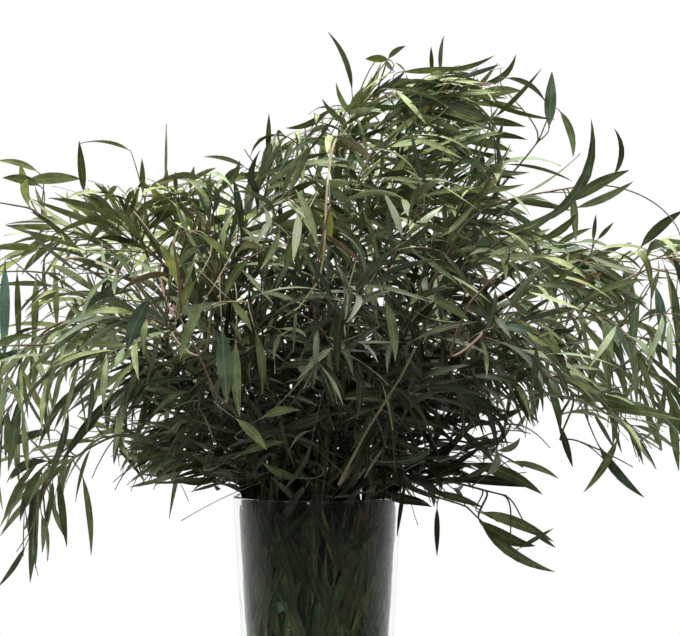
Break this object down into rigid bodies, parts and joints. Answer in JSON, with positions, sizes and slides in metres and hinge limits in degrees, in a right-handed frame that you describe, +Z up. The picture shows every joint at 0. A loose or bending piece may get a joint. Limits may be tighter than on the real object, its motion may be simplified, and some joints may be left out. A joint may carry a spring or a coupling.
{
  "type": "willow peppermint stems in a glass vase",
  "caption": "Bunch of woody eucalyptus stems with long narrow drooping leaves, fanning out of a tapered clear glass vase.",
  "frame": {"origin": "centre of the vase's foot, on the surface it stands on", "axes": "+Z up along the vase's axis; +X to the right along the bunch's widest spread; the front faces -Y"},
  "size_m": [0.7042, 0.6413, 0.681],
  "materials": {
    "clear_glass": "gloss",
    "bark": "matte",
    "leaf": "satin"
  },
  "bodies": {
    "root": {"glass_vase": "clear_glass", "shoot_back_1": "leaf", "shoot_back_2": "leaf", "shoot_back_3": "leaf", "shoot_back_4": "leaf", "shoot_back_5": "leaf", "shoot_crown_1": "leaf", "shoot_crown_2": "leaf", "shoot_crown_3": "leaf", "shoot_crown_4": "leaf", "shoot_crown_5": "leaf", "shoot_crown_6": "leaf", "shoot_crown_7": "leaf", "shoot_crown_8": "leaf", "shoot_crown_9": "leaf", "shoot_front_1": "leaf", "shoot_front_2": "leaf", "shoot_front_3": "leaf", "shoot_front_4": "leaf", "shoot_front_5": "leaf", "shoot_front_6": "leaf", "shoot_front_7": "leaf", "shoot_left_1": "leaf", "shoot_left_2": "leaf", "shoot_left_3": "leaf", "shoot_left_4": "leaf", "shoot_left_5": "leaf", "shoot_left_6": "leaf", "shoot_left_7": "leaf", "shoot_left_8": "leaf", "shoot_low_1": "leaf", "shoot_low_2": "leaf", "shoot_low_3": "leaf", "shoot_right_1": "leaf", "shoot_right_2": "leaf", "shoot_right_3": "leaf", "shoot_right_4": "leaf", "shoot_right_5": "leaf", "shoot_right_6": "leaf", "shoot_right_7": "leaf", "shoot_right_8": "leaf", "shoot_rim_left": "leaf", "shoot_rim_right": "leaf", "shoot_vase_1": "leaf", "shoot_vase_2": "leaf", "shoot_vase_3": "leaf", "stem_back_left": "bark", "stem_back_right": "bark", "stem_crown_left": "bark", "stem_crown_middle": "bark", "stem_crown_right": "bark", "stem_front": "bark", "stem_front_left": "bark", "stem_front_right": "bark", "stem_left_back": "bark", "stem_left_high": "bark", "stem_left_low": "bark", "stem_right_back": "bark", "stem_right_high": "bark", "stem_right_low": "bark"}
  },
  "joints": []
}
